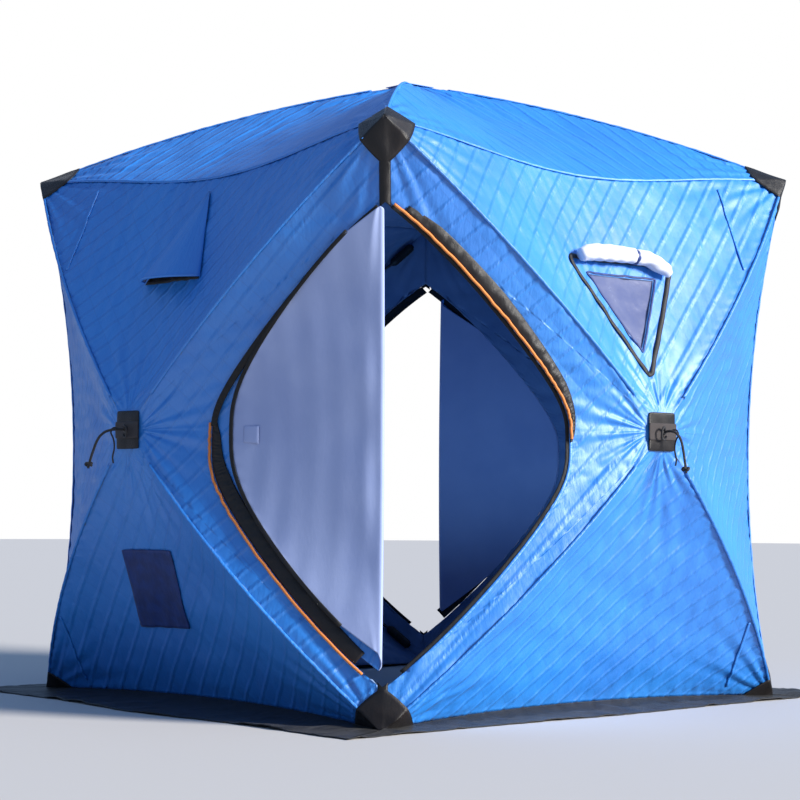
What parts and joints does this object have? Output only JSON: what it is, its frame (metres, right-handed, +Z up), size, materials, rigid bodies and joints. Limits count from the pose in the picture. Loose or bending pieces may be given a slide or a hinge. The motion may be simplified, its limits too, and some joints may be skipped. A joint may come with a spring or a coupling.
{
  "type": "ice fishing hut",
  "caption": "Pop-up fabric ice fishing hut: quilted walls pushed out by spring hubs and bowed poles, low roof, zipped corner doors, hooded vents, clear windows and a ground skirt.",
  "frame": {"origin": "centre of the floor plan, on the ground", "axes": "+Z up, +X along the front wall; the front wall faces -Y and the corner doors are at -X -Y and +X +Y"},
  "size_m": [2.5398, 2.4714, 2.0963],
  "materials": {
    "wall_fabric": "woven, quilted",
    "roof_fabric": "woven, quilted",
    "black_fabric": "heavy woven",
    "hub_plastic": "moulded",
    "pole_fibre": "drawn fibre rod",
    "white_lining": "coated lining",
    "orange_piping": "corded tape",
    "clear_film": "soft clear film",
    "navy_patch": "plain sewn patch",
    "black_cord": "braided"
  },
  "bodies": {
    "root": {"front_wall_top": "wall_fabric", "front_wall_bottom": "wall_fabric", "front_wall_left": "wall_fabric", "front_wall_right": "wall_fabric", "right_wall_top": "wall_fabric", "right_wall_bottom": "wall_fabric", "right_wall_front": "wall_fabric", "right_wall_rear": "wall_fabric", "back_wall_top": "wall_fabric", "back_wall_bottom": "wall_fabric", "back_wall_right": "wall_fabric", "back_wall_left": "wall_fabric", "left_wall_top": "wall_fabric", "left_wall_bottom": "wall_fabric", "left_wall_rear": "wall_fabric", "left_wall_front": "wall_fabric", "roof_front": "roof_fabric", "roof_right": "roof_fabric", "roof_back": "roof_fabric", "roof_left": "roof_fabric", "pole_hubs": "hub_plastic", "wall_poles": "pole_fibre", "roof_poles": "pole_fibre", "top_corner_caps": "black_fabric", "bottom_corner_caps": "black_fabric", "hub_patches": "black_fabric", "front_door_flap": "white_lining", "rear_door_flap": "white_lining", "storm_bands": "black_fabric", "door_piping": "orange_piping", "window_bindings": "black_fabric", "window_panes": "clear_film", "window_rolls": "white_lining", "vent_hoods": "wall_fabric", "side_patches": "navy_patch", "front_skirt": "black_fabric", "right_skirt": "black_fabric", "back_skirt": "black_fabric", "left_skirt": "black_fabric", "front_hub_cord": "black_cord", "right_hub_cord": "black_cord", "back_hub_cord": "black_cord", "left_hub_cord": "black_cord"}
  },
  "joints": []
}
